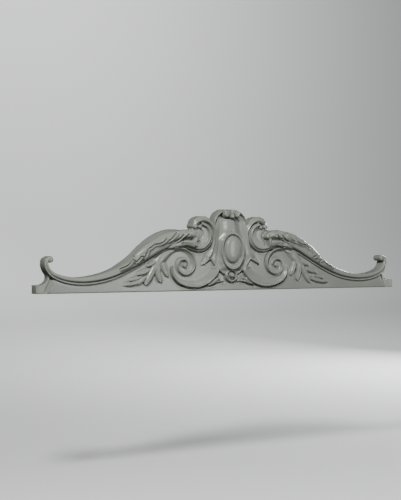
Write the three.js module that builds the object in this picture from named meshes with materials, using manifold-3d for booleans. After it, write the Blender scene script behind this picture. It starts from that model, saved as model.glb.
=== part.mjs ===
// Scroll onlay: an overdoor ornament moulded in one piece, a cartouche between two swan-neck arms.
// Millimetres, +Z up. The flat back lies on the plane y = 0 and the carving faces -Y.
// Places on the face are given for the right half, as x from the middle and z above the underside.
import * as THREE from "three";
import { mergeVertices } from "three/addons/utils/BufferGeometryUtils.js";
import Module from "manifold-3d";

const wasm = await Module();
wasm.setup();

// Driving sizes
const width = 1275; // over both end blocks
const height = 250; // underside to the top of the hood
const fieldDepth = 36; // wall to the flat field
const blockDepth = 34.5; // wall to the outer edge of an end block
const blockHeight = 25;
const creaseDepth = 29; // wall to the fold between an end block and the field
const creaseBevel = 6; // sloped edge of the field beside that fold
const rollRadius = 8.5; // roll at the tip of each arm
const rollDepth = 33;
const filletWidth = 7; // thin bead under the arm
const filletRise = 4.5; // bead above the field
const grooveWidth = 2;
const volutePitch = 46; // how far the volute's radius shrinks on its way in
const voluteCore = 19;
const voluteRise = 7.5; // rim of the volute above the field
const eyeRadius = 9;
const dishRise = 7; // rim of the dish below the volute
const ribbonRise = 6; // crease of the ribbon beside the cartouche
const scrollRise = 8.5; // rim of the inner scroll
const domeRise = 10; // crest of the cartouche above the field
const ovalWidth = 79;
const ovalHeight = 111;
const ovalRise = 16;
const cabochonWidth = 57;
const cabochonHeight = 84;
const cabochonRise = 24;
const ringWidth = 40;
const ringHeight = 35;
const ringRise = 8;
const beadRadius = 8.5;
const hoodRimWidth = 6;
const leafRise = 26; // curled tip of the leaf on the arm
const sprayRise = 6; // leaves hanging from the volute's stem

// The carving was drawn at this size, and its places are shares of the width and the height.
const drawn = { width: 1275, height: 250 };
const at = (x, z) => new THREE.Vector3((x * width) / drawn.width, 0, (z * height) / drawn.height);
const lineThrough = (...places) => new THREE.CatmullRomCurve3(places.map(([x, z]) => at(x, z)));
const radians = THREE.MathUtils.degToRad;
const buried = fieldDepth / 2; // carving on the field is rooted this deep

// A value that changes along the way, read off between stops of [share of the way, value].
function along(share, ...stops) {
  let i = 1;
  while (i < stops.length - 1 && share > stops[i][0]) i++;
  const [from, low] = stops[i - 1];
  const [to, high] = stops[i];
  return low + (high - low) * THREE.MathUtils.clamp((share - from) / (to - from), 0, 1);
}

// A closed geometry as a solid whose faces point out.
function solid(geometry) {
  geometry.deleteAttribute("normal");
  geometry.deleteAttribute("uv");
  const merged = mergeVertices(geometry, 1e-4);
  const triVerts = new Uint32Array(merged.index.array);
  const vertProperties = merged.attributes.position.array;
  const made = new wasm.Manifold(new wasm.Mesh({ numProp: 3, vertProperties, triVerts }));
  if (made.volume() > 0) return made;
  for (let i = 0; i < triVerts.length; i += 3) {
    [triVerts[i], triVerts[i + 1]] = [triVerts[i + 1], triVerts[i]];
  }
  return new wasm.Manifold(new wasm.Mesh({ numProp: 3, vertProperties, triVerts }));
}

// Moves every point of a geometry to where move(x, y, z) says.
function reshaped(geometry, move) {
  const places = geometry.getAttribute("position");
  for (let i = 0; i < places.count; i++) {
    places.setXYZ(i, ...move(places.getX(i), places.getY(i), places.getZ(i)));
  }
  return geometry;
}

// A moulding: a section of [across, out] points run along a line. shape() turns each of its points,
// at each share of the way, into millimetres to the right of the line, out from the wall and onward.
function moulding(line, steps, section, shape) {
  const face = new THREE.Shape(section.map(([across, out]) => new THREE.Vector2(across, out)));
  const run = new THREE.ExtrudeGeometry(face, { depth: 1, steps, bevelEnabled: false });
  const bent = reshaped(run, (across, out, share) => {
    const [aside, proud, onward = 0] = shape(across, out, share);
    const spot = line.getPointAt(share);
    const heading = line.getTangentAt(share);
    return [
      spot.x + heading.z * aside + heading.x * onward,
      -proud,
      spot.z - heading.x * aside + heading.z * onward,
    ];
  });
  return solid(bent);
}

// A flat slab with the given outline on the face. depthAt() gives its front, out from the wall.
function slab(outline, depthAt) {
  const face = new THREE.Shape(outline.map((place) => new THREE.Vector2(place.x, place.z)));
  const block = new THREE.ExtrudeGeometry(face, { depth: 1, bevelEnabled: false });
  return solid(reshaped(block, (x, z, front) => [x, front ? -depthAt(x, z) : 0, z]));
}

// A round or oval boss: a profile of [share of the radius, out] points turned about its middle.
function boss(middle, wide, high, sides, profile) {
  const turned = new THREE.LatheGeometry(
    profile.map(([share, out]) => new THREE.Vector2(share, out)),
    sides,
  );
  const placed = reshaped(turned, (x, out, z) => [
    middle.x + (x * wide) / 2,
    -out,
    middle.z + (z * high) / 2,
  ]);
  return solid(placed);
}

// A leaf lobe: ridged down its middle, full along its length and drawn in at a blunt or sharp tip.
const lobeSection = [
  [-1, -1],
  [-1, 0],
  [-0.55, 0.75],
  [0, 1],
  [0.55, 0.75],
  [1, 0],
  [1, -1],
];
function lobe(places, wide, rootOut, ridgeOut, tipOut, tipShare = 0.35, steps = 4) {
  return moulding(lineThrough(...places), steps, lobeSection, (across, out, share) => {
    const half = (wide / 2) * along(share, [0, 0.5], [0.4, 1], [0.8, 0.85], [1, tipShare]);
    const ridge = along(share, [0, rootOut], [0.4, ridgeOut], [0.8, ridgeOut], [1, tipOut]);
    const edge = ridge - half * 0.45;
    return [across * half, out < 0 ? buried : edge + (ridge - edge) * out];
  });
}

const unite = (solids) => solids.reduce((whole, piece) => whole.add(piece));

// The arm's outer line: over the roll, round the end volute, down and up the swan neck.
const armLine = lineThrough(
  [594, 106.5],
  [609, 100],
  [612.5, 80],
  [598, 52],
  [560, 32.5],
  [505, 23.5],
  [450, 27],
  [400, 38.5],
  [340, 64],
  [280, 96],
  [240, 117],
  [200, 131],
  [165, 130],
  [137, 124],
);

// The fold between the field and an end block leans in from the foot to the head.
const foldFoot = at(611, 0);
const foldHead = at(590, 42);

// The field: flat, bounded above by the arm, with a sloped edge along the fold.
function field() {
  const steps = 20;
  const inside = 24; // the sloped edge overlaps the plate
  const outline = [at(0, 0), new THREE.Vector3(foldFoot.x - inside, 0, 0)];
  for (let i = 0; i <= steps; i++) {
    const share = 0.17 + (0.83 * i) / steps;
    const spot = armLine.getPointAt(share);
    const heading = armLine.getTangentAt(share);
    outline.push(new THREE.Vector3(spot.x + heading.z * 4, 0, spot.z - heading.x * 4));
  }
  outline.push(at(0, 118));
  const steppedBox = new THREE.BoxGeometry(2, 2, 1, 2, 1, 1);
  const edge = reshaped(steppedBox, (column, front, level) => {
    const along = level + 0.5;
    const x = foldFoot.x + (foldHead.x - foldFoot.x) * along;
    const inset = [0, creaseBevel + 4, inside + 6][column + 1];
    const out = column < 0 ? creaseDepth - 4 : fieldDepth;
    return [x - inset, front > 0 ? -out : 0, foldHead.z * along];
  });
  return [slab(outline, () => fieldDepth), solid(edge)];
}

// The end block: low, with a hollow sweep up to the underside of the end volute.
function endBlock() {
  const end = at(637.5, 0).x;
  const fold = at(600, 0).x;
  const outline = [
    at(560, 0),
    at(637.5, 0),
    at(637.5, blockHeight - 2),
    at(633.5, blockHeight),
    at(624, blockHeight),
    at(610, 29),
    at(602, 36),
    at(599, 46),
    at(600, 56),
    at(575, 46),
  ];
  return slab(outline, (x) => creaseDepth + ((blockDepth - creaseDepth) * (x - fold)) / (end - fold));
}

// The arm: a bead, a groove and a broad round moulding that swells towards the middle.
function arm() {
  const roundPoints = 5;
  const section = [
    [0, 0],
    [0, 0.6],
    [0.3, 1],
    [0.7, 1],
    [1, 0.5],
  ];
  for (let i = 0; i <= roundPoints; i++) {
    section.push([2 + i / roundPoints, 1 + Math.sin((Math.PI * i) / roundPoints)]);
  }
  section.push([4, 0]);
  const shape = (across, out, share) => {
    const outerWide = along(share, [0, 9], [0.12, 16], [0.29, 22], [0.475, 27], [0.6, 30]);
    const wide = outerWide + along(share, [0.6, 0], [0.66, 4], [0.73, 13], [0.86, 21], [1, 20]);
    const slim = Math.min(1, wide / 22);
    const bead = filletWidth * slim;
    const start = (filletWidth + grooveWidth) * slim;
    const base = along(share, [0, rollDepth - 1], [0.13, fieldDepth], [1, fieldDepth]);
    const crest = base + along(share, [0, 4], [0.12, 5], [0.29, 8], [0.475, 10], [0.66, 13], [1, 20]);
    const draft = along(share, [0.52, 0], [0.63, 4], [0.69, 5]);
    if (across <= 1) return [across * bead, out === 0 ? 0 : base + filletRise * slim * out];
    if (across === 4) return [wide + draft, 0];
    return [start + (wide - start) * (across - 2), base + 1 + (crest - base - 1) * (out - 1)];
  };
  return moulding(armLine, 25, section, shape);
}

// The roll at the arm's tip runs back to the wall.
function roll() {
  const rounded = [
    [0, 0],
    [1, 0],
    [1, rollDepth],
    [0.6, rollDepth + 3],
    [0, rollDepth + 4],
  ];
  return boss(at(594, 98), rollRadius * 2, rollRadius * 2, 12, rounded);
}

// The acanthus leaf on the arm: lobes that lap over each other towards the curled tip.
function armLeaf() {
  const tip = fieldDepth + leafRise;
  const sharp = 0.1;
  return [
    lobe([[381, 63], [361, 75], [340, 97]], 14, tip - 19, tip - 15, tip - 17, sharp),
    lobe([[352, 74], [332, 86], [311, 107]], 16, tip - 18, tip - 13, tip - 16, sharp),
    lobe([[340, 86], [319, 107], [300, 131]], 20, tip - 17, tip - 12, tip - 16, sharp),
    lobe([[318, 90], [292, 112], [262, 142]], 24, tip - 15, tip - 10, tip - 13, sharp),
    lobe([[288, 104], [259, 130], [229, 161]], 28, tip - 13, tip - 7, tip - 11, sharp),
    lobe([[256, 119], [228, 145], [197, 177]], 31, tip - 11, tip - 4, tip - 9, sharp),
    lobe([[228, 133], [198, 155], [160, 176]], 31, tip - 8, tip - 1, tip - 5, sharp),
    lobe([[220, 146], [178, 166], [142, 170], [123, 163]], 33, tip - 8, tip, tip - 4, 0.3, 7),
    lobe([[206, 137], [172, 144], [138, 147]], 20, tip - 12, tip - 8, tip - 10, 0.5),
  ];
}

// The inner scroll, which carries the arm's bead round into a C.
function innerScroll() {
  const line = lineThrough(
    [170, 130],
    [140, 124],
    [116, 119],
    [94, 123],
    [75, 139],
    [65, 162],
    [67, 184],
    [80, 201],
    [98, 208],
  );
  const section = [
    [0, -1],
    [0, 0.45],
    [0.14, 0.5],
    [0.24, 0.3],
    [0.4, 1],
    [0.6, 0.9],
    [1.1, 0],
    [1.1, -1],
  ];
  const rim = moulding(line, 15, section, (across, out, share) => [
    across * along(share, [0, 15], [0.4, 20], [0.8, 18], [1, 12]),
    out < 0 ? buried : fieldDepth + out * scrollRise * along(share, [0, 0.5], [0.3, 1], [1, 1]),
  ]);
  const floor = slab(
    [
      at(58, 122),
      at(110, 118),
      at(150, 126),
      at(170, 150),
      at(166, 184),
      at(133, 187),
      at(126, 205),
      at(100, 216),
      at(78, 211),
      at(56, 180),
    ],
    () => fieldDepth - 2,
  );
  return [rim, floor];
}

// The ribbon beside the cartouche: it ends in a swallow tail below and folds over as an ear above.
function ribbon() {
  const line = lineThrough(
    [84, 79],
    [78, 97],
    [65, 122],
    [59, 146],
    [58, 168],
    [62, 189],
    [73, 206],
    [89, 217],
    [106, 218],
    [120, 212],
    [129, 200],
  );
  const section = [
    [-1, -1],
    [-1, 0.6],
    [-0.5, 0.6],
    [0.35, 1],
    [1, 0.4],
    [1, -1],
  ];
  const notch = 17;
  return moulding(line, 17, section, (across, out, share) => {
    const half = along(share, [0, 21], [0.12, 16], [0.28, 8], [0.5, 5.5], [0.66, 7], [0.82, 8], [1, 4]);
    const rise = along(share, [0, ribbonRise], [0.4, ribbonRise + 1], [1, ribbonRise]);
    const cut = across === -0.5 ? notch : across === 0.35 ? notch * 0.4 : 0;
    return [across * half, out < 0 ? 0 : fieldDepth + rise * out, share < 0.01 ? cut : 0];
  });
}

// The roll under the ear's tip and the bead beside it.
function earBeads() {
  const round = (out) => [
    [0, 0],
    [1, 0],
    [1, out - 5],
    [0.7, out - 1.5],
    [0, out],
  ];
  return [
    boss(at(127, 197), 17, 14, 9, round(fieldDepth + 5)),
    boss(at(108, 194), 13, 12, 9, round(fieldDepth + 2)),
  ];
}

// The volute: its radius shrinks quickly at first and then settles round the eye.
const voluteMiddle = at(165, 77);
const voluteSpiral = (fromDegrees, toDegrees) => {
  const places = [];
  for (let degrees = fromDegrees; degrees <= toDegrees; degrees += 15) {
    const shrink = Math.exp(-(degrees - 40) / 110);
    const radius = voluteCore + volutePitch * shrink - Math.max(0, degrees - 400) * 0.06;
    places.push(new THREE.Vector3(
      voluteMiddle.x + radius * Math.cos(radians(degrees)),
      0,
      voluteMiddle.z + radius * Math.sin(radians(degrees)),
    ));
  }
  return new THREE.CatmullRomCurve3(places);
};
function volute() {
  const section = [
    [-0.45, -1],
    [-0.45, 0.3],
    [-0.3, 1],
    [-0.05, 1],
    [0.3, 0.3],
    [0.9, 0],
    [0.9, -1],
  ];
  const rim = (line, steps, fromWide, toWide, fromRise, toRise) =>
    moulding(line, steps, section, (across, out, share) => [
      across * (fromWide + (toWide - fromWide) * share),
      out < 0 ? buried : fieldDepth + out * voluteRise * (fromRise + (toRise - fromRise) * share),
    ]);
  const eye = [
    [0, buried],
    [1, buried],
    [1, fieldDepth + voluteRise * 0.5],
    [0.6, fieldDepth + voluteRise + 1],
    [0, fieldDepth + voluteRise + 2],
  ];
  return [
    rim(voluteSpiral(40, 235), 13, 9, 10, 0.9, 1),
    rim(voluteSpiral(225, 400), 11, 10, 6, 1, 0.8),
    rim(voluteSpiral(385, 520), 7, 6, 3, 0.8, 0.6),
    boss(voluteMiddle, eyeRadius * 2, eyeRadius * 2, 10, eye),
  ];
}

// The dish under the volute: a raised rim and a hollow that widens towards the cartouche.
function dish() {
  const line = lineThrough(
    [208, 76],
    [206, 50],
    [191, 29],
    [165, 15.5],
    [135, 10.5],
    [108, 12],
    [84, 23],
    [64, 42],
    [50, 64],
    [49, 84],
  );
  const section = [
    [0, -1],
    [0, 0.6],
    [0.06, 1],
    [0.15, 0.95],
    [0.35, 0.5],
    [1, 0.05],
    [1, -1],
  ];
  return moulding(line, 14, section, (across, out, share) => {
    const rise = dishRise * along(share, [0, 0.5], [0.15, 1], [0.85, 1], [1, -0.5]);
    return [
      across * along(share, [0, 6], [0.2, 13], [0.45, 20], [0.7, 32], [1, 30]),
      out < 0 ? buried : fieldDepth + out * rise,
    ];
  });
}

// The spray of leaves below the arm, hung from the volute's stem, and the small leaf by the ring.
function spray() {
  const low = fieldDepth + sprayRise;
  const root = fieldDepth - 2; // each leaf rises out of the field
  return [
    lobe([[256, 66], [246, 92], [226, 112], [198, 125]], 17, low - 1, low + 1, low, 0.5, 7),
    lobe([[254, 96], [255, 62], [250, 31]], 19, root, low + 1, low - 1, 0.5),
    lobe([[231, 104], [233, 74], [226, 46]], 14, root, low, low - 1, 0.4),
    lobe([[252, 92], [276, 56], [304, 24]], 24, root, low + 1, low - 1, 0.5),
    lobe([[278, 50], [306, 31], [335, 24], [367, 20]], 13, root, low, low - 4, 0.1, 6),
    lobe([[248, 94], [270, 82], [288, 75]], 14, root, low, low - 2, 0.3, 4),
    lobe([[262, 74], [293, 59], [319, 51]], 15, root, low, low - 2, 0.2, 4),
    lobe([[292, 48], [322, 39], [346, 34]], 12, root, low - 1, low - 3, 0.2, 4),
    lobe([[100, 13], [74, 25], [44, 37]], 14, root, low + 1, low - 2, 0.3),
  ];
}

// How wide the cartouche is at a height, and how far its face stands out there: a tall dome with a
// flat top under the oval, a hollow on each side, and an edge that falls back under the hood.
function cartoucheHalf(z) {
  if (z < 110) return along(z, [40, 25], [60, 45], [84, 52], [110, 56]);
  return along(z, [110, 56], [180, 58], [197, 62], [214, 58], [228, 52], [239, 42], [246, 28], [250, 9]);
}
function cartoucheOut(x, z) {
  const aside = Math.abs(x);
  const hollow = fieldDepth + along(z, [40, 6], [85, 3], [110, 1], [180, 0], [205, -4], [250, -8]);
  const edge = fieldDepth + along(z, [40, 7], [85, 4], [185, 4.5], [205, -1], [216, -5], [250, -7]);
  const swell = along(z, [40, 0], [62, 0.4], [85, 0.8], [110, 1], [225, 1.1], [243, 0.6], [250, 0.1]);
  const crest = hollow + domeRise * swell;
  const flat = along(z, [40, 4], [70, 20], [90, 34], [150, 34], [182, 8], [250, 4]);
  const reach = along(z, [40, 22], [60, 40], [90, 50], [150, 48], [180, 38], [239, 30], [250, 12]);
  if (aside > reach) return THREE.MathUtils.mapLinear(aside, reach, cartoucheHalf(z) + 0.01, hollow, edge);
  const fall = THREE.MathUtils.clamp((aside - flat) / (reach - flat), 0, 1);
  return hollow + (crest - hollow) * (0.5 + 0.5 * Math.cos(Math.PI * fall));
}

// The middle: a hooded cartouche with an oval cabochon in a ring, a small ring and a crest.
function cartouche() {
  const right = [at(0, 23), at(26, 23), at(60, 21), at(92, 15), at(80, 60), at(62, 90), at(57, 165)];
  const left = right.slice(1).reverse().map((place) => new THREE.Vector3(-place.x, 0, place.z));
  const back = slab([...right, ...left], () => fieldDepth + 1);
  const columns = [-1, -0.86, -0.7, -0.52, -0.35, -0.15, 0, 0.15, 0.35, 0.52, 0.7, 0.86, 1];
  const section = [[-1, -1], ...columns.map((column) => [column, 0]), [1, -1]];
  const foot = 40;
  const upTheMiddle = lineThrough([0, foot], [0, drawn.height]);
  const body = moulding(upTheMiddle, 14, section, (column, out, share) => {
    const z = foot + (drawn.height - foot) * share;
    const x = column * cartoucheHalf(z);
    return [at(x, z).x, out < 0 ? 0 : cartoucheOut(x, z)];
  });
  const ridge = [[-1, -1], [0, 1], [1, -1]];
  const hoodLine = [[57, 198], [56, 213], [50.5, 225], [42, 235], [31, 241], [18, 245.5]];
  const hoodRim = (side) =>
    moulding(lineThrough(...hoodLine.map(([x, z]) => [side * x, z])), 6, ridge, (across, out, share) => [
      (across * hoodRimWidth) / 2,
      out < 0 ? buried : fieldDepth + along(share, [0, -1], [0.2, 1], [0.8, 0], [1, -2]),
    ]);
  const floor = fieldDepth + ovalRise - 5;
  const oval = [
    [0, buried],
    [1, buried],
    [1, floor],
    [0.97, floor + 5],
    [0.92, floor + 5],
    [0.88, floor - 1],
    [0, floor - 1],
  ];
  const cabochon = [
    [0, buried],
    [1, buried],
    [1, floor],
    [0.92, floor + (cabochonRise + 5 - ovalRise) * 0.52],
    [0.6, floor + (cabochonRise + 5 - ovalRise) * 0.88],
    [0, fieldDepth + cabochonRise],
  ];
  const ring = [
    [0, buried],
    [1, buried],
    [1, fieldDepth + ringRise - 3],
    [0.84, fieldDepth + ringRise],
    [0.62, fieldDepth + ringRise - 4],
    [0, fieldDepth + ringRise - 4],
  ];
  const bead = [
    [0, buried],
    [1, buried],
    [1, fieldDepth + ringRise - 3],
    [0.6, fieldDepth + ringRise + 2],
    [0, fieldDepth + ringRise + 4],
  ];
  const curl = [
    [0, buried],
    [1, buried],
    [1, fieldDepth + 7],
    [0.75, fieldDepth + 11],
    [0, fieldDepth + 12],
  ];
  const tongue = fieldDepth + 14;
  return [
    back,
    body,
    hoodRim(1),
    hoodRim(-1),
    boss(at(0, 122), ovalWidth, ovalHeight, 21, oval),
    boss(at(0, 126), cabochonWidth, cabochonHeight, 18, cabochon),
    boss(at(0, 44), ringWidth, ringHeight, 16, ring),
    boss(at(0, 47), beadRadius * 2, beadRadius * 2, 10, bead),
    boss(at(16, 236.5), 20, 14, 8, curl),
    boss(at(-16, 236.5), 20, 14, 8, curl),
    lobe([[0, 249.5], [0, 238], [0, 222]], 13, tongue - 3, tongue, tongue - 1, 0.7, 3),
  ];
}

// One half, and the same half seen in a mirror.
const half = unite([
  ...field(),
  endBlock(),
  arm(),
  roll(),
  ...armLeaf(),
  ...innerScroll(),
  ribbon(),
  ...earBeads(),
  ...volute(),
  dish(),
  ...spray(),
]);

function geometryOf(piece) {
  const { vertProperties, triVerts } = piece.getMesh();
  const geometry = new THREE.BufferGeometry();
  geometry.setAttribute("position", new THREE.BufferAttribute(vertProperties, 3));
  geometry.setIndex(new THREE.BufferAttribute(triVerts, 1));
  return geometry;
}
const otherHalf = solid(reshaped(geometryOf(half), (x, y, z) => [-x, y, z]));

const moulded = new THREE.MeshStandardMaterial({ color: 0xa9ada4, roughness: 0.75, metalness: 0 });
const onlay = new THREE.Mesh(geometryOf(unite([half, otherHalf, ...cartouche()])), moulded);
onlay.name = "scroll_onlay";
onlay.position.z = -height / 2; // the origin is the middle of the back

const part = new THREE.Group();
part.add(onlay);
export default part;
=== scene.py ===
# Scroll onlay: an overdoor ornament moulded in polyurethane and primed a pale stone grey.
# The right half is modelled in millimetres, as x from the middle, z above the underside and out
# from the wall, melted into one skin, carved, and mirrored onto the left.
import bpy
import bmesh
import math
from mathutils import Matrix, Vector
from mathutils.kdtree import KDTree


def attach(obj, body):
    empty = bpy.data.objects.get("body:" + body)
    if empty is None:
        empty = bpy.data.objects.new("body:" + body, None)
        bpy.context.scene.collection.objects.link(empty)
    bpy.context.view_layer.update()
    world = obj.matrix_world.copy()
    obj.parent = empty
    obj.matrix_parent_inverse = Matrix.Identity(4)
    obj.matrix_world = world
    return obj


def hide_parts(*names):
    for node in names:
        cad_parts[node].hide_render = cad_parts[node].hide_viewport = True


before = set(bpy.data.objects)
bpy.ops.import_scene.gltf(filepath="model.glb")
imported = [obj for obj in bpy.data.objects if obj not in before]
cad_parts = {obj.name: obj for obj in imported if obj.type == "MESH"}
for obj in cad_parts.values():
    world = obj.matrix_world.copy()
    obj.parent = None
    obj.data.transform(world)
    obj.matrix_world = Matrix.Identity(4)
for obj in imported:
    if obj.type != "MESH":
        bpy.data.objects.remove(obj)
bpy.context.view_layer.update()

# Sizes, in millimetres
HEIGHT = 250  # underside to the top of the hood
DEPTH = 62  # wall to the tip of the leaf
END = 637.5  # middle to the outer end of a block
FIELD = 36  # wall to the flat field
BLOCK = 34.5  # wall to the outer edge of an end block
BLOCK_HEIGHT = 25
CREASE = 29  # wall to the fold between an end block and the field
BEVEL = 6  # sloped edge of the field beside that fold
BURIED = 18  # wall to the roots of the carving
BEAD_WIDE = 6.5  # thin bead under the arm
BEAD_RISE = 4.8
ROLL = 19  # roll at the tip of the arm, across
SCROLL_RISE = 8.5  # rim of the inner scroll above the field
RIBBON_RISE = 7
VOLUTE_RISE = 7
VOLUTE_CORE = 19  # radius that the volute settles to round its eye
VOLUTE_PITCH = 46  # how far its radius shrinks on the way in
DISH_RISE = 6
SPRAY_RISE = 6
DOME_RISE = 10  # crest of the cartouche above its hollows
OVAL = (80, 112)  # raised oval round the cabochon
OVAL_RISE = 11
CABOCHON = (60, 86)
RING = (40, 35)
RING_BEAD = (17, 17)
UNDER_EDGE = 3  # rounding of the front edge of the underside
GROOVE_REACH = 7  # how far from a fine groove the skin is looked at
SKIN = 1.0  # size of the cells that the pieces are melted into
FACE = 24  # only what lies further out than this is carved
GROUND = 20  # only what lies further out than this counts as relief
MOST_TRIANGLES = 190000
MM = 0.001


# Lines and sections

def along(share, *stops):
    """A value between stops of (share of the way, value), with no kink at a stop."""
    if share <= stops[0][0]:
        return stops[0][1]
    if share >= stops[-1][0]:
        return stops[-1][1]
    i = 1
    while share > stops[i][0]:
        i += 1
    slopes = [(b[1] - a[1]) / (b[0] - a[0]) for a, b in zip(stops, stops[1:])]

    def lean(k):
        if k in (0, len(stops) - 1):
            return slopes[min(k, len(slopes) - 1)]
        before, after = slopes[k - 1], slopes[k]
        return 0 if before * after <= 0 else 2 * before * after / (before + after)

    (x0, y0), (x1, y1) = stops[i - 1], stops[i]
    span = x1 - x0
    t = (share - x0) / span
    return (
        (1 + 2 * t) * (1 - t) ** 2 * y0
        + t * (1 - t) ** 2 * span * lean(i - 1)
        + t * t * (3 - 2 * t) * y1
        + t * t * (t - 1) * span * lean(i)
    )


def curve(places, dense=24):
    """Points close together on a smooth curve through the places."""
    ends = [places[0] * 2 - places[1], *places, places[-1] * 2 - places[-2]]
    points = []
    for a, b, c, d in zip(ends, ends[1:], ends[2:], ends[3:]):
        ab, bc, cd = (max((q - p).length, 1e-6) ** 0.5 for p, q in ((a, b), (b, c), (c, d)))
        leave = ((b - a) / ab - (c - a) / (ab + bc) + (c - b) / bc) * bc
        arrive = ((c - b) / bc - (d - b) / (bc + cd) + (d - c) / cd) * bc
        for k in range(dense):
            t = k / dense
            points.append(
                b * (2 * t ** 3 - 3 * t * t + 1)
                + leave * (t ** 3 - 2 * t * t + t)
                + c * (3 * t * t - 2 * t ** 3)
                + arrive * (t ** 3 - t * t)
            )
    return [*points, places[-1]]


class Line:
    """A smooth line on the face, read off by the share of its length."""

    def __init__(self, *places):
        self.points = curve([Vector(place) for place in places])
        self.runs = [0]
        for a, b in zip(self.points, self.points[1:]):
            self.runs.append(self.runs[-1] + (b - a).length)
        self.length = self.runs[-1]

    def at(self, share):
        """The place at a share of the way, and the heading there."""
        run = share * self.length
        low, high = 0, len(self.runs) - 1
        while high - low > 1:
            middle = (low + high) // 2
            if self.runs[middle] > run:
                high = middle
            else:
                low = middle
        a, b = self.points[low], self.points[high]
        t = (run - self.runs[low]) / max(self.runs[high] - self.runs[low], 1e-9)
        before = self.points[max(low - 1, 0)]
        after = self.points[min(high + 1, len(self.points) - 1)]
        heading = ((b - before).lerp(after - a, t)).normalized()
        return a.lerp(b, t), heading


def beside(line, aside, start=0.0, stop=1.0, count=17):
    """Places at a distance to the right of a line, between two shares of its way."""
    places = []
    for k in range(count):
        spot, heading = line.at(start + (stop - start) * k / (count - 1))
        places.append((spot.x + heading.y * aside, spot.y - heading.x * aside))
    return places


def eased(points, dense):
    """A section's corner points turned into a smooth curve, with dense points from each to the next."""
    return [tuple(p) for p in curve([Vector(p) for p in points], dense)]


# Closed pieces: each is a bmesh in millimetres, as (x, out from the wall, z)

pieces = []


def moulding(line, step, section, shape):
    """A section of (across, out) points run along a line, about one ring in each step millimetres.
    shape() turns a point and its share of the way into millimetres to the right and out."""
    steps = max(3, round(line.length / step))
    mesh = bmesh.new()
    face = mesh.faces.new([mesh.verts.new((across, out, 0)) for across, out in section])
    for _ in range(steps):
        made = bmesh.ops.extrude_face_region(mesh, geom=[face])["geom"]
        face = next(item for item in made if isinstance(item, bmesh.types.BMFace))
        bmesh.ops.translate(mesh, verts=face.verts, vec=(0, 0, 1 / steps))
    spots = {}
    for vert in mesh.verts:
        across, out, share = vert.co
        key = round(share * steps)
        if key not in spots:
            spots[key] = line.at(min(1, key / steps))
        spot, heading = spots[key]
        aside, proud = shape(across, out, key / steps)
        vert.co = (spot.x + heading.y * aside, proud, spot.y - heading.x * aside)
    pieces.append(mesh)


def slab(outline, depth_at):
    """A flat piece with the given outline on the face and its front at depth_at(x, z)."""
    mesh = bmesh.new()
    face = mesh.faces.new([mesh.verts.new((x, 0, z)) for x, z in outline])
    made = bmesh.ops.extrude_face_region(mesh, geom=[face])["geom"]
    for vert in (item for item in made if isinstance(item, bmesh.types.BMVert)):
        vert.co.y = depth_at(vert.co.x, vert.co.z)
    pieces.append(mesh)


def boss(middle, size, rising, dense, foot=BURIED, floor=None):
    """A round or oval boss, spun about its middle: a foot, then (share of the radius, out) points from
    its side inwards, and where a floor is given, a flat floor inside them."""
    wide, high = size
    profile = [(0, foot), (1, foot), *eased(rising, dense)]
    if floor is not None:
        profile.append((0, floor))
    mesh = bmesh.new()
    points = [mesh.verts.new((share, out, 0)) for share, out in profile]
    edges = [mesh.edges.new(pair) for pair in zip(points, points[1:])]
    bmesh.ops.spin(
        mesh,
        geom=[*points, *edges],
        cent=(0, 0, 0),
        axis=(0, 1, 0),
        angle=math.tau,
        steps=64,
        use_merge=True,
    )
    bmesh.ops.remove_doubles(mesh, verts=mesh.verts, dist=1e-5)
    for vert in mesh.verts:
        x, out, z = vert.co
        vert.co = (middle[0] + x * wide / 2, out, middle[1] + z * high / 2)
    pieces.append(mesh)


LOBE = eased([(-1, 0), (-0.72, 0.55), (-0.3, 0.93), (0, 1), (0.3, 0.93), (0.72, 0.55), (1, 0)], 3)


def lobe(places, wide, root, ridge, tip, tip_share, vein=0.0, foot=BURIED, full=0.85):
    """A leaf lobe: crowned across, rooted at one end and rounded off at the other. root, ridge and tip
    are how far out it is on its way, tip_share is the share of its width at the tip, and vein is the
    depth of the line down its middle."""
    line = Line(*places)

    def shape(across, out, share):
        half = wide / 2 * along(share, (0, 0.55), (0.4, 1), (0.8, full), (1, tip_share))
        if share > 0.85:
            half *= max(0.02, 1 - ((share - 0.85) / 0.15) ** 3) ** 0.5
        top = along(share, (0, root), (0.35, ridge), (0.75, ridge), (1, tip))
        side = top - half * 0.5
        dent = vein * math.exp(-(across / 0.18) ** 2) * math.sin(math.pi * share)
        return across * half, foot if out < 0 else side + (top - side) * out - dent

    moulding(line, 1.5, [(-1, -1), *LOBE, (1, -1)], shape)


# The arm

ARM = Line(
    (594, 106.5), (609, 100), (612.5, 80), (598, 52), (560, 32.5), (505, 23.5), (450, 27),
    (400, 38.5), (340, 64), (280, 96), (240, 117), (200, 131), (165, 130), (137, 124),
)


def build_field():
    """The flat field under the arm, its sloped edge along the fold, and the end block."""
    foot, head = Vector((611, 0)), Vector((585, 52))
    outline = [(-3, 0), (foot.x - 24, 0), *beside(ARM, 4, 0.17, 1, 60), (-3, 118)]
    slab(outline, lambda x, z: FIELD)
    section = [(-30, 0), (-30, FIELD), (-BEVEL, FIELD), (0, CREASE - 2), (0, 0)]
    moulding(Line(foot, head), 2, section, lambda across, out, share: (across, out))
    fold = 600
    hollow = eased([(624, BLOCK_HEIGHT), (610, 29), (602, 36), (599, 46), (600, 56)], 6)
    outline = [(560, 0), (END, 0), (END, BLOCK_HEIGHT), *hollow, (575, 46)]
    slab(outline, lambda x, z: CREASE + (BLOCK - CREASE) * (x - fold) / (END - fold))


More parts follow.
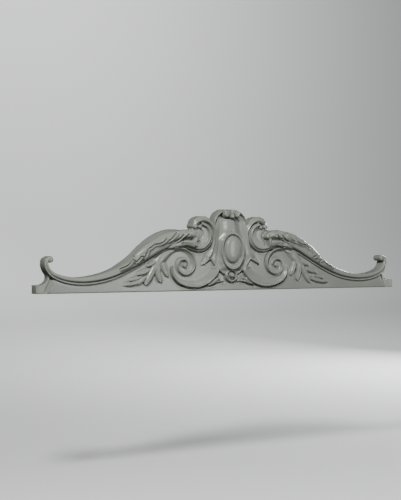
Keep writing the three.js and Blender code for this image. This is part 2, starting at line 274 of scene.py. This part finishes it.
def build_arm():
    """A bead, a groove and a broad round moulding that swells towards the middle."""
    bead = eased([(0, 0), (0.05, 0.6), (0.3, 1), (0.7, 1), (0.95, 0.6), (1, 0.1)], 3)
    broad = [(0, 0), (0.03, 0.5), (0.1, 0.78), (0.26, 0.96), (0.48, 1), (0.74, 0.93), (0.92, 0.62), (1, 0)]
    # In the section the bead runs across from 0 to 1, and the round moulding from 2 to 3
    round_part = [(2 + across, 1 + out) for across, out in eased(broad, 4)]
    section = [(0, -1), *bead, *round_part, (4, -1)]
    widths = (
        (0, 9), (0.12, 16), (0.29, 22), (0.475, 27), (0.6, 30),
        (0.66, 34), (0.73, 43), (0.86, 51), (1, 50),
    )
    swells = ((0, 4), (0.12, 5), (0.29, 8), (0.475, 10), (0.66, 13), (0.8, 17), (1, 19))

    def shape(across, out, share):
        wide = along(share, *widths)
        slim = min(1, wide / 22)
        bead_wide = BEAD_WIDE * slim * along(share, (0.5, 1), (0.7, 0.7))
        base = along(share, (0, 32), (0.13, FIELD), (1, FIELD))
        swell = along(share, *swells)
        draft = along(share, (0.52, 0), (0.63, 4), (0.69, 5))
        if out < 0:
            return (0, 0) if across == 0 else (wide + draft, 0)
        if across <= 1:
            return across * bead_wide, base - 0.5 + BEAD_RISE * out * min(1, slim * 1.3)
        start = bead_wide + 1.2
        return start + (wide - start) * (across - 2), base + 0.5 + (swell - 0.5) * (out - 1)

    moulding(ARM, 2, section, shape)
    rounded = [(1, 30), (1, 33.5), (0.93, 35.5), (0.7, 37), (0.3, 37.6), (0, 37.8)]
    boss((594, 97.5), (ROLL, ROLL), rounded, 3, foot=0)


def build_leaf_tip():
    """The acanthus leaf's body swells over the arm, and its tongue curls over at the end."""
    lobe([(330, 100), (290, 124), (250, 144), (205, 158)], 34, 46, 52, 54, 0.7, foot=30)
    lobe([(270, 130), (236, 150), (200, 166), (166, 176)], 30, 50, 56, 55, 0.5, foot=30)
    lobe([(232, 143), (200, 163), (168, 172), (142, 172), (122, 163)], 26, 52, 59, 56, 0.7, foot=34)
    lobe([(206, 152), (190, 163), (172, 170), (150, 166)], 13, 50, 59, 55, 0.5, foot=34)
    lobe([(226, 133), (194, 141), (168, 147), (140, 147)], 21, 46, 53, 53, 0.8, foot=30)
    lobe([(200, 163), (180, 176), (158, 183)], 12, 53, 57, 54, 0.4, foot=34)


SCROLL = Line(
    (170, 130), (140, 124), (116, 119), (94, 123), (75, 139), (65, 162), (67, 184), (80, 201), (102, 209),
)


def build_scroll():
    """The inner scroll, which carries the arm's bead round into a C, with small curls in its mouth."""
    bead = eased([(0, 0.1), (0.02, 0.45), (0.1, 0.62), (0.18, 0.5), (0.24, 0.38)], 3)
    crest = [
        (0.27, 0.5), (0.36, 0.85), (0.48, 1.03), (0.6, 0.97),
        (0.7, 0.55), (0.86, 0.15), (1.2, 0), (1.6, -0.1),
    ]
    section = [(0, -1), *bead, *eased(crest, 3), (1.6, -1)]

    def shape(across, out, share):
        wide = along(share, (0, 15), (0.4, 20), (0.8, 18), (1, 13))
        rise = SCROLL_RISE * along(share, (0, 0.7), (0.25, 1), (1, 0.85))
        return across * wide, BURIED if out < -0.5 else FIELD - 1 + out * rise

    moulding(SCROLL, 1.5, section, shape)
    web = [(-1, -1), (-1, 1), (1, 1), (1, -1)]
    moulding(SCROLL, 3, web, lambda across, out, share: (across * 5 - 6, BURIED if out < 0 else FIELD - 2))
    floor = [
        (58, 122), (110, 118), (150, 126), (170, 150), (166, 184),
        (133, 187), (126, 205), (100, 216), (78, 211), (56, 180),
    ]
    slab(floor, lambda x, z: FIELD - 3 + 0.03 * (x - 100))
    boss((127, 197), (18, 15), [(1, 36), (0.9, 39), (0.6, 41), (0, 42)], 4, foot=0)
    boss((109, 195), (13, 12), [(1, 34), (0.9, 37), (0.6, 39.5), (0, 40.5)], 4, foot=0)


def build_ribbon():
    """The ribbon beside the cartouche: a swallow tail below, and an ear folded over above."""
    line = Line(
        (76.5, 100), (65, 122), (59, 146), (58, 168), (62, 189), (73, 206), (89, 217), (106, 218),
        (120, 212), (130, 200),
    )
    creased = [
        (-1, 0.3), (-0.6, 0.5), (-0.2, 0.65), (0.1, 0.8), (0.32, 1),
        (0.42, 0.97), (0.6, 0.75), (0.9, 0.55), (1, 0.4),
    ]
    low = RIBBON_RISE - 1

    def shape(across, out, share):
        half = along(share, (0, 14), (0.19, 8), (0.44, 6), (0.62, 7.5), (0.8, 9), (0.92, 8), (1, 4))
        rise = along(share, (0, low), (0.33, RIBBON_RISE), (0.78, RIBBON_RISE), (1, low))
        inward = along(share, (0, 8), (0.19, 8), (0.44, 4), (0.55, 0)) if across < 0 else 0
        return across * (half + inward), 0 if out < 0 else FIELD + rise * out

    moulding(line, 2, [(-1, -1), *eased(creased, 4), (1, -1)], shape)
    tail = [(103, 77), (72, 95), (60, 77), (56, 92), (56, 112), (72, 116), (84, 108), (92, 99), (98, 89)]
    slab(tail, lambda x, z: FIELD + 3.8)


VOLUTE = Vector((165, 77))


def spiral(from_degrees, to_degrees):
    """Places on the volute: its radius shrinks quickly at first and then settles round the eye."""
    places = []
    for k in range(int((to_degrees - from_degrees) / 15) + 1):
        degrees = from_degrees + 15 * k
        radius = VOLUTE_CORE + VOLUTE_PITCH * math.exp(-(degrees - 40) / 110)
        radius -= 0.06 * max(0, degrees - 400)
        turn = math.radians(degrees)
        places.append((VOLUTE.x + radius * math.cos(turn), VOLUTE.y + radius * math.sin(turn)))
    return places


COIL = Line(*spiral(40, 535))


def build_volute():
    """The volute's rim winds in to a round eye, with a hollow inside it."""
    rim = [
        (-0.5, -0.1), (-0.45, 0.5), (-0.34, 0.95), (-0.2, 1.05), (-0.06, 0.95),
        (0.1, 0.6), (0.35, 0.25), (0.7, 0.05), (1, -0.1),
    ]
    section = [(-0.5, -1), *eased(rim, 4), (1, -1)]

    def shape(across, out, share):
        wide = along(share, (0, 10), (0.35, 11), (0.7, 8.5), (1, 4))
        rise = VOLUTE_RISE * along(share, (0, 0.75), (0.1, 1), (0.6, 1), (0.85, 0.85), (1, 0.5))
        return -across * wide, BURIED if out < -0.5 else FIELD + out * rise

    moulding(COIL, 1.5, section, shape)
    eye = VOLUTE + Vector((0, 1))
    boss(eye, (14, 15), [(1, 37), (0.94, 40), (0.65, 43.5), (0, 45)], 5)


DISH = Line(
    (208, 78), (206, 50), (191, 29), (165, 15.5), (135, 10.5), (108, 12), (82, 22), (60, 37),
    (45, 58), (46, 74),
)


def build_dish():
    """The dish under the volute: a raised rim and a hollow that widens towards the cartouche."""
    rim = [
        (0, 0), (0.01, 0.6), (0.05, 0.98), (0.12, 1.05), (0.2, 0.75),
        (0.34, 0.5), (0.42, 0.58), (0.6, 0.4), (0.8, 0.2), (1, 0),
    ]
    section = [(0, -1), *eased(rim, 4), (1, -1)]
    # Towards the cartouche the rim spreads into one broad slope
    slope = ((0, 0.7), (0.06, 1), (0.2, 1.02), (0.5, 0.7), (0.8, 0.2), (1, 0))

    def shape(across, out, share):
        if out < -0.5:
            proud = BURIED
        else:
            spread = along(share, (0.5, 0), (0.72, 1))
            height = out + (along(across, *slope) - out) * spread
            rise = DISH_RISE * along(share, (0, 0.4), (0.15, 1), (0.7, 1), (0.9, 1.15), (1, 1))
            proud = FIELD + height * rise
        return across * along(share, (0, 6), (0.2, 14), (0.45, 22), (0.7, 32), (1, 28)), proud

    moulding(DISH, 2, section, shape)


def build_spray():
    """The leaves that hang from the volute's stem, and the small leaves by the ring."""
    low = FIELD + SPRAY_RISE
    root = FIELD - 3
    # The stem, and the broad body of the leaf
    lobe([(200, 124), (226, 112), (243, 94), (250, 74)], 15, low - 1, low + 1, low, 0.7, vein=1)
    lobe([(208, 122), (236, 104), (256, 80), (270, 52)], 36, low - 2, low + 1, low - 3, 0.45)
    # Three long fingers
    lobe([(250, 88), (254, 60), (246, 28)], 19, low - 2, low + 2, low - 0.5, 0.6, vein=1)
    lobe([(241, 100), (236, 74), (221, 44)], 17, root, low + 1, low - 1.5, 0.55, vein=0.8)
    lobe([(252, 92), (272, 60), (297, 20)], 22, low - 3, low + 1.5, low - 1, 0.5, vein=1)
    # Small leaves on the arm's side
    lobe([(276, 54), (304, 34), (335, 25), (372, 20)], 12, root, low, FIELD, 0.15)
    lobe([(282, 50), (306, 36), (322, 22)], 12, root, low + 0.5, low - 2, 0.5)
    lobe([(252, 94), (270, 84), (291, 76)], 12, root, low, low - 2, 0.4)
    lobe([(268, 72), (293, 60), (322, 51)], 13, root, low, low - 2, 0.3)
    lobe([(296, 48), (322, 39), (348, 34)], 10, root, low - 1, low - 3, 0.3)
    # Beside the ring
    lobe([(98, 17), (74, 25), (42, 38)], 13, root, low + 1, low - 1, 0.5)
    lobe([(84, 18), (62, 24), (38, 29)], 9, root, low - 1, low - 3, 0.4)


# The cartouche, in stops of (height above the underside, millimetres)

CARTOUCHE_FOOT = 40
CARTOUCHE_HALF = (
    (40, 12), (45, 20), (60, 42), (65, 50), (84, 60), (110, 63), (165, 61),
    (180, 60), (197, 61), (214, 58), (228, 52), (239, 43), (247, 30), (250, 20),
)
CARTOUCHE_HOLLOW = (
    (40, 3), (58, 3.5), (68, 6), (85, 3), (110, 1), (180, 0),
    (205, -4), (216, -6), (244, -8), (247, -10), (250, -20),
)
CARTOUCHE_EDGE = (
    (40, 3), (58, 4), (66, 6.5), (85, 3.5), (110, 3.5), (185, 4.5),
    (205, -1), (216, -5), (244, -7), (247, -9), (250, -20),
)
# Shares of the dome's rise
CARTOUCHE_DOME = (
    (40, 0), (62, 0), (75, 0.5), (90, 0.85), (110, 1), (180, 1.1), (225, 1.1), (243, 0.6), (250, 0.1),
)
# How far the dome is flat, and how far it reaches, on each side of the middle
DOME_FLAT = ((40, 4), (70, 20), (90, 32), (150, 31), (182, 8), (250, 4))
DOME_REACH = ((40, 22), (60, 40), (90, 50), (150, 47), (180, 38), (239, 30), (250, 12))


def cartouche_out(x, z):
    """The face of the cartouche: a tall dome, a hollow on each side, and an edge under the hood."""
    aside = abs(x)
    hollow = FIELD + along(z, *CARTOUCHE_HOLLOW)
    edge = FIELD + along(z, *CARTOUCHE_EDGE)
    crest = hollow + DOME_RISE * along(z, *CARTOUCHE_DOME)
    flat = along(z, *DOME_FLAT)
    reach = along(z, *DOME_REACH)
    if aside > reach:
        rim = max(along(z, *CARTOUCHE_HALF), reach + 1)
        return hollow + (edge - hollow) * min(1, (aside - reach) / (rim - reach))
    fall = min(1, max(0, (aside - flat) / (reach - flat)))
    return hollow + (crest - hollow) * (0.5 + 0.5 * math.cos(math.pi * fall))


def build_cartouche():
    """A hooded cartouche with an oval cabochon in a ring, a small ring and a crest."""
    columns = [i / 30 for i in range(-2, 31)]
    section = [(columns[0], -1), *((column, 0) for column in columns), (1, -1)]

    def shape(column, out, share):
        z = CARTOUCHE_FOOT + (HEIGHT - CARTOUCHE_FOOT) * share
        x = column * along(z, *CARTOUCHE_HALF)
        return x, 0 if out < 0 else cartouche_out(x, z)

    moulding(Line((0, CARTOUCHE_FOOT), (0, HEIGHT)), 2, section, shape)
    # The hood's thin rim
    ridge = [(-1, -1), *eased([(-1, -0.4), (-0.6, 0.6), (0, 1), (0.6, 0.6), (1, -0.4)], 3), (1, -1)]
    hood = Line((57, 192), (57.5, 205), (55.5, 215), (51, 225), (43, 233.5), (31, 240), (19, 243.5))

    def rim(across, out, share):
        crown = FIELD + along(share, (0, -2), (0.2, 2), (0.8, 1), (1, -2))
        return across * 3, BURIED if out < -0.5 else crown - 3 + 3 * out

    moulding(hood, 1.5, ridge, rim)
    # The raised oval, and the cabochon in it
    bed = FIELD + OVAL_RISE
    oval = [
        (1, bed - 3), (0.99, bed + 1.5), (0.97, bed + 4.2),
        (0.935, bed + 4.2), (0.91, bed + 1.5), (0.87, bed + 0.5),
    ]
    boss((0, 121.5), OVAL, oval, 4, floor=bed + 0.5)
    egg = [
        (1, bed - 4), (0.985, bed + 1.5), (0.92, bed + 5.8),
        (0.76, bed + 9.8), (0.42, bed + 12.6), (0, bed + 13.4),
    ]
    boss((0, 125.5), CABOCHON, egg, 6)
    # The small ring, and the bead in it
    ring = [
        (1, FIELD), (0.99, FIELD + 4), (0.95, FIELD + 6.5),
        (0.89, FIELD + 7), (0.82, FIELD + 6), (0.76, FIELD + 3.2),
    ]
    boss((0, 44), RING, ring, 4, floor=FIELD + 3.2)
    boss((0, 47), RING_BEAD, [(1, 38), (0.96, 42), (0.75, 46.5), (0.35, 48.7), (0, 49)], 5)
    # The crest: a curl on each side of a keystone
    curl = [(1, 30), (1, 40), (0.93, 43.5), (0.7, 46), (0.35, 47), (0, 47.3)]
    boss((18, 233), (19, 17), curl, 4)
    lobe([(0, 248), (0, 237), (0, 221)], 13, 46, 51, 50.5, 0.7, full=1)


# The skin: every piece melted into one, carved, and mirrored

def melt():
    """One closed skin over all the pieces, as a bmesh in millimetres with the front towards -y."""
    joined = bmesh.new()
    for piece in pieces:
        bmesh.ops.recalc_face_normals(piece, faces=piece.faces)
        loose = bpy.data.meshes.new("loose")
        piece.to_mesh(loose)
        piece.free()
        joined.from_mesh(loose)
        bpy.data.meshes.remove(loose)
    for vert in joined.verts:
        vert.co = (vert.co.x, -vert.co.y, vert.co.z)
    bmesh.ops.recalc_face_normals(joined, faces=joined.faces)
    mesh = bpy.data.meshes.new("melting")
    joined.to_mesh(mesh)
    joined.free()
    block = bpy.data.objects.new("melting", mesh)
    bpy.context.scene.collection.objects.link(block)
    remesh = block.modifiers.new("melt", "REMESH")
    remesh.mode = "VOXEL"
    remesh.voxel_size = SKIN
    shown = block.evaluated_get(bpy.context.evaluated_depsgraph_get())
    melted = bpy.data.meshes.new_from_object(shown)
    bpy.data.objects.remove(block)
    bpy.data.meshes.remove(mesh)
    skin = bmesh.new()
    skin.from_mesh(melted)
    bpy.data.meshes.remove(melted)
    return skin


def soften(skin):
    """Takes the small steps of the melting off the front and the sides."""
    front = [vert for vert in skin.verts if vert.co.y < -6]
    for _ in range(2):
        bmesh.ops.smooth_vert(
            skin,
            verts=front,
            factor=0.5,
            use_axis_x=True,
            use_axis_y=True,
            use_axis_z=True,
        )


def flattened(skin):
    """The skin's points laid flat on the wall, to find those near a line."""
    tree = KDTree(len(skin.verts))
    for vert in skin.verts:
        tree.insert((vert.co.x, vert.co.z, 0), vert.index)
    tree.balance()
    return tree


def carve(skin, tree, places, reach, profile):
    """Moves the skin near a line. profile(aside, share) gives how far out, in millimetres, at a
    distance to the right of the line."""
    line = Line(*places)
    steps = max(4, round(line.length / 0.8))
    nearest = {}
    for k in range(steps + 1):
        spot, heading = line.at(k / steps)
        for co, index, distance in tree.find_range((spot.x, spot.y, 0), reach):
            if index not in nearest or distance < nearest[index][0]:
                offset = Vector((co.x - spot.x, co.y - spot.y))
                side = heading.y * offset.x - heading.x * offset.y
                nearest[index] = (distance, math.copysign(distance, side), k / steps)
    for index, (_, aside, share) in nearest.items():
        vert = skin.verts[index]
        if vert.co.y < -FACE:
            vert.co.y -= profile(aside, share)


def groove(wide, deep, lift=0.0, spread=7.0):
    """A cut whose left-hand bank may stand proud, fading at both ends."""
    def profile(aside, share):
        fade = min(1, share / 0.1, (1 - share) / 0.1)
        cut = math.exp(-(aside / (wide / 2)) ** 2)
        bank = math.exp(-(aside / spread) ** 2) if aside < 0 else 0
        return fade * (lift * bank - (deep + lift * bank) * cut)
    return profile


def ridge(wide, rise):
    """A soft raised line."""
    def profile(aside, share):
        return rise * math.exp(-(aside / (wide / 2)) ** 2) * min(1, share / 0.2, (1 - share) / 0.2)
    return profile


def sharpen(skin, reach, gain, most):
    """Gives back the crispness that melting takes: each point of the front moves out by a share of its
    height over the ground within reach, and by most millimetres at the most."""
    wide, high = math.ceil(END) + 4, HEIGHT + 4
    front = [[0.0] * wide for _ in range(high)]
    for vert in skin.verts:
        row, column = int(vert.co.z) + 1, int(vert.co.x) + 1
        if 0 <= row < high and 0 <= column < wide:
            front[row][column] = max(front[row][column], -vert.co.y)
    weights = [[1.0 if out > GROUND else 0.0 for out in row] for row in front]
    heights = [[out if out > GROUND else 0.0 for out in row] for row in front]

    def spread(grid):
        """Sums over a run of cells on each side, along the rows, and then turns the grid."""
        turned = []
        for row in grid:
            total, sums = 0.0, [0.0]
            for value in row:
                total += value
                sums.append(total)
            last = len(row)
            turned.append([sums[min(i + reach + 1, last)] - sums[max(i - reach, 0)] for i in range(last)])
        return [list(column) for column in zip(*turned)]

    for _ in range(4):
        heights, weights = spread(heights), spread(weights)
    ground = [[h / w if w else 0.0 for h, w in zip(*rows)] for rows in zip(heights, weights)]
    for vert in skin.verts:
        out = -vert.co.y
        x, z = vert.co.x + 0.5, vert.co.z + 0.5
        column, row = int(x), int(z)
        if out < GROUND or not (0 <= row < high - 1 and 0 <= column < wide - 1) or x < 0:
            continue
        low, right = z - row, x - column
        around = (
            (1 - low) * ((1 - right) * ground[row][column] + right * ground[row][column + 1])
            + low * ((1 - right) * ground[row + 1][column] + right * ground[row + 1][column + 1])
        )
        # A point on a side wall, below the front of its own cell, moves less or not at all
        below = max(0.0, max(front[row][column], front[row + 1][column + 1]) - out - 2) / 6
        if below < 1:
            vert.co.y -= (1 - below) * min(most, max(-most, gain * (out - around)))


def carve_leaf(skin, tree):
    """The leaf's saw-toothed edge along the arm, the folds towards its tip, and its dark mouth."""
    teeth = [
        ((386, 66), (378, 70), (355, 80), (340, 97)),
        ((341, 97), (330, 88)),
        ((330, 88), (312, 106)),
        ((312, 106), (303, 100)),
        ((303, 100), (298, 112), (292, 128)),
        ((292, 128), (285, 130), (270, 140), (255, 142), (240, 150), (230, 161)),
        ((232, 148), (216, 158), (197, 177)),
    ]
    for places in teeth:
        carve(skin, tree, places, 12, groove(3.4, 4.6, 3.4))
    folds = [
        ((207, 148), (190, 157), (176, 171)),
        ((188, 148), (172, 158), (158, 172)),
    ]
    for places in folds:
        carve(skin, tree, places, 12, groove(4, 5, 3))
    mouth = ((180, 154), (162, 157), (138, 156))
    carve(skin, tree, mouth, 10, groove(9, 9))


def carve_rims(skin, tree):
    """Narrow dark grooves, each a width and a depth, and the crease out to the ribbon's tail."""
    dish_foot = beside(DISH, -1.8, 0.03, 0.86)
    scroll_outside = beside(SCROLL, -1.8, 0.05, 0.97)
    scroll_inside = beside(SCROLL, 4.2, 0.05, 0.9)
    volute_outside = beside(COIL, 6.5, 0.02, 0.6)
    volute_inside = beside(COIL, -7.5, 0.05, 0.5)
    corner_beside_dish = [(57, 36), (50, 47), (43, 59)]
    corner_under_oval = [(43, 60), (31, 51.5), (20, 45)]
    tail_below = [(105, 76), (88, 85), (71, 95)]
    tail_inside = [(72, 95), (66, 86), (59, 76)]
    fold = [(612, -2), (601, 20), (590, 43)]
    under_ring_leaves = [(90, 12), (66, 17), (50, 23.5), (34, 25), (20, 25)]
    under_crest = [(31, 226), (20, 221.5), (9, 221.5), (-4, 219)]
    ring_foot = [(22, 50), (21.5, 38), (14, 27.5), (0, 24.5), (-14, 27.5)]
    bead_foot = [(-8, 56), (0, 58.5), (10, 54), (12.5, 46), (10, 38), (0, 33.5), (-8, 36)]
    grooves = [
        (dish_foot, 4.6, 6),
        (scroll_outside, 4.6, 6),
        (scroll_inside, 2.6, 1.5),
        (volute_outside, 3, 2.5),
        (volute_inside, 3, 1.5),
        (corner_beside_dish, 3.8, 4.2),
        (corner_under_oval, 3.8, 4.2),
        (tail_below, 3.2, 3),
        (tail_inside, 3, 2.2),
        (fold, 2.6, 1.3),
        (under_ring_leaves, 4, 4.8),
        (under_crest, 4.2, 3.8),
        (ring_foot, 3.2, 2.8),
        (bead_foot, 3.4, 2.5),
    ]
    for places, wide, deep in grooves:
        carve(skin, tree, places, GROOVE_REACH, groove(wide, deep))
    crease = ((66, 121), (78, 103), (92, 87), (104, 77))
    carve(skin, tree, crease, 12, ridge(9, 2.4))


def cut_seam(skin):
    """The mould's seam, a fine line sunk straight across the arm's upper side wall."""
    height, half_wide, deep = 124, 1.1, 1.6
    start, stop, lowest, front = 290, 322, 118, 48
    inward = Vector((-0.5, 0, -0.85))
    for vert in skin.verts:
        if start < vert.co.x < stop and -front < vert.co.y < -1 and vert.co.z > lowest:
            vert.co += inward * deep * math.exp(-((vert.co.z - height) / half_wide) ** 2)


def ease_underside(skin):
    """Rounds off the front edge of the underside."""
    flat = FIELD - UNDER_EDGE
    for vert in skin.verts:
        low, deep = UNDER_EDGE - vert.co.z, -vert.co.y - flat
        reach = math.hypot(low, deep)
        if low > 0 and deep > 0 and reach > UNDER_EDGE:
            vert.co.z = UNDER_EDGE - low * UNDER_EDGE / reach
            vert.co.y = -flat - deep * UNDER_EDGE / reach


def keep_in_box(skin):
    """Sets the back flat on the wall, and keeps every point just inside the solid's box."""
    inside = 0.1
    for vert in skin.verts:
        vert.co.y = 0 if vert.co.y > -0.6 * SKIN else max(vert.co.y, inside - DEPTH)
        vert.co.x = min(vert.co.x, END - inside)
        vert.co.z = min(max(vert.co.z, inside / 2), HEIGHT - inside)


def mirror_half(skin):
    """Cuts the skin down the middle and mirrors the right half onto the left."""
    bmesh.ops.bisect_plane(
        skin,
        geom=[*skin.verts, *skin.edges, *skin.faces],
        dist=1e-4,
        plane_co=(0, 0, 0),
        plane_no=(1, 0, 0),
        clear_inner=True,
    )
    bmesh.ops.mirror(skin, geom=[*skin.verts, *skin.edges, *skin.faces], axis="X", merge_dist=0.01)
    bmesh.ops.recalc_face_normals(skin, faces=skin.faces)


def thinned(skin, name):
    """The skin as an object in metres about the middle of the back, with fewer triangles on its flats."""
    for vert in skin.verts:
        vert.co = Vector((vert.co.x, vert.co.y, vert.co.z - HEIGHT / 2)) * MM
    mesh = bpy.data.meshes.new(name)
    skin.to_mesh(mesh)
    skin.free()
    made = bpy.data.objects.new(name, mesh)
    bpy.context.scene.collection.objects.link(made)
    thin = made.modifiers.new("thin", "DECIMATE")
    triangles = sum(len(face.vertices) - 2 for face in mesh.polygons)
    thin.ratio = min(1, MOST_TRIANGLES / triangles)
    shown = made.evaluated_get(bpy.context.evaluated_depsgraph_get())
    made.data = bpy.data.meshes.new_from_object(shown)
    made.modifiers.clear()
    bpy.data.meshes.remove(mesh)
    # The relief is shaded smooth, and the cut back and its edge stay flat and crisp
    for face in made.data.polygons:
        face.use_smooth = face.normal.y < 0.9
    return made


builders = (
    build_field,
    build_arm,
    build_leaf_tip,
    build_scroll,
    build_ribbon,
    build_volute,
    build_dish,
    build_spray,
    build_cartouche,
)
for build in builders:
    build()
skin = melt()
skin.verts.ensure_lookup_table()
soften(skin)
tree = flattened(skin)
skin.verts.ensure_lookup_table()
carve_leaf(skin, tree)
carve_rims(skin, tree)
sharpen(skin, 4, 0.85, 3)
cut_seam(skin)
ease_underside(skin)
keep_in_box(skin)
mirror_half(skin)
onlay = thinned(skin, "scroll_onlay_carved")


# Material

def linear(hex_colour):
    """An sRGB hex colour as linear red, green, blue and alpha."""
    values = [int(hex_colour[i:i + 2], 16) / 255 for i in (1, 3, 5)]
    return [v / 12.92 if v <= 0.04045 else ((v + 0.055) / 1.055) ** 2.4 for v in values] + [1]


def node(tree, kind, settings=(), **links):
    """Adds a node, sets its settings and joins or sets its inputs by name or number."""
    made = tree.nodes.new(kind)
    for name, value in dict(settings).items():
        setattr(made, name, value)
    for name, value in links.items():
        socket = made.inputs[int(name[1:])] if name[1:].isdigit() else made.inputs[name.replace("_", " ")]
        if isinstance(value, bpy.types.NodeSocket):
            tree.links.new(value, socket)
        else:
            socket.default_value = value
    return made


def primed_polyurethane():
    """High-density polyurethane foam, cast in a mould and sprayed with grey primer: that gives a satin
    sheen, long soft highlights on the rounds and a faint orange peel."""
    material = bpy.data.materials.new("primed moulded polyurethane")
    material.use_nodes = True
    tree = material.node_tree
    shader = tree.nodes["Principled BSDF"]
    shader.inputs["Roughness"].default_value = 0.27
    shader.inputs["IOR"].default_value = 1.47
    place = node(tree, "ShaderNodeTexCoord").outputs["Object"]
    # Clouds of slightly thicker primer
    cloud = 91 * MM
    clouds = node(tree, "ShaderNodeTexNoise", Vector=place, Scale=1 / cloud, Detail=3.0)
    tone = node(tree, "ShaderNodeMapRange", i0=clouds.outputs[0], i1=0.35, i2=0.65, i3=0.0, i4=1.0)
    colour = node(tree, "ShaderNodeMix", {"data_type": "RGBA"}, i0=tone.outputs[0])
    colour.inputs[6].default_value = linear("#7c8078")
    colour.inputs[7].default_value = linear("#848880")
    tree.links.new(colour.outputs[2], shader.inputs["Base Color"])
    # The orange peel of a sprayed primer is about 1 mm across: drawn at 2 mm so that it shows at all
    pimple = 2 * MM
    peel = node(tree, "ShaderNodeTexNoise", Vector=place, Scale=1 / pimple, Detail=2.0)
    bump = node(tree, "ShaderNodeBump", Strength=0.12, Distance=0.6 * MM, Height=peel.outputs[0])
    tree.links.new(bump.outputs[0], shader.inputs["Normal"])
    return material


onlay.data.materials.clear()
onlay.data.materials.append(primed_polyurethane())
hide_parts("scroll_onlay")
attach(onlay, "root")

# Studio: a pale floor that curves up behind, a soft key from the upper left, and a tall narrow light
# from the right whose reflection draws the streak down the cabochon

def paper_sweep():
    """Seamless paper, 0.6 m below the middle of the piece, that curves up well behind it."""
    places = [Vector(place) for place in ((-9, -0.6), (4.2, -0.6), (5.2, -0.3), (5.6, 0.6), (5.6, 8))]
    left, across = -9, 22
    sheet = bmesh.new()
    side = [sheet.verts.new((left, y, z)) for y, z in curve(places, 8)]
    edges = [sheet.edges.new(pair) for pair in zip(side, side[1:])]
    made = bmesh.ops.extrude_edge_only(sheet, edges=edges)["geom"]
    far = [item for item in made if isinstance(item, bmesh.types.BMVert)]
    bmesh.ops.translate(sheet, verts=far, vec=(across, 0, 0))
    bmesh.ops.recalc_face_normals(sheet, faces=sheet.faces)
    mesh = bpy.data.meshes.new("floor")
    sheet.to_mesh(mesh)
    sheet.free()
    for face in mesh.polygons:
        face.use_smooth = True
    paper = bpy.data.materials.new("matt seamless paper")
    paper.use_nodes = True
    shader = paper.node_tree.nodes["Principled BSDF"]
    shader.inputs["Base Color"].default_value = linear("#f4f5f6")
    shader.inputs["Roughness"].default_value = 0.9
    mesh.materials.append(paper)
    made = bpy.data.objects.new("floor", mesh)
    bpy.context.scene.collection.objects.link(made)
    return made


def light(name, place, aim, wide, high, watts, colour):
    """A rectangular soft box at a place that looks at its aim."""
    lamp = bpy.data.lights.new(name, "AREA")
    lamp.shape = "RECTANGLE"
    lamp.size = wide
    lamp.size_y = high
    lamp.energy = watts
    lamp.color = linear(colour)[:3]
    made = bpy.data.objects.new(name, lamp)
    bpy.context.scene.collection.objects.link(made)
    made.location = place
    made.rotation_euler = (Vector(aim) - Vector(place)).to_track_quat("-Z", "Y").to_euler()


floor = paper_sweep()
# The pale paper is seen, but its bounce would wash out the hollows of the carving
floor.visible_diffuse = False
floor.visible_glossy = False
middle = (0, 0, 0)
light("key", (-1.8, -2.2, 2), middle, wide=0.5, high=0.5, watts=165, colour="#fefdfb")
light("strip", (1.3, -3, 0.25), middle, wide=0.25, high=2, watts=36, colour="#fbfcff")
# Behind the piece and turned away from it, so that it reaches the paper alone
light("paper light", (1.5, 2.5, 3), (3, 5.6, 0.6), wide=3, high=1.5, watts=150, colour="#ffffff")
# A little light for the views from behind
light("back light", (3.4, 2.2, 0.8), middle, wide=1, high=1, watts=110, colour="#ffffff")
world = bpy.data.worlds.new("studio")
world.use_nodes = True
world.node_tree.nodes["Background"].inputs["Color"].default_value = linear("#dfe3e8")
world.node_tree.nodes["Background"].inputs["Strength"].default_value = 0.06
bpy.context.scene.world = world

# The camera stands as the photograph's did: level, 30 degrees round to the left, 3.5 m away
camera = bpy.data.cameras.new("camera")
camera.lens = 81.4
camera.sensor_width = 36
camera.shift_x = -0.0054
viewpoint = bpy.data.objects.new("camera", camera)
bpy.context.scene.collection.objects.link(viewpoint)
viewpoint.location = (-1.8157, -3.0119, -0.0009)
viewpoint.rotation_euler = Vector((0.5, 0.8660254, 0)).to_track_quat("-Z", "Y").to_euler()
bpy.context.scene.camera = viewpoint
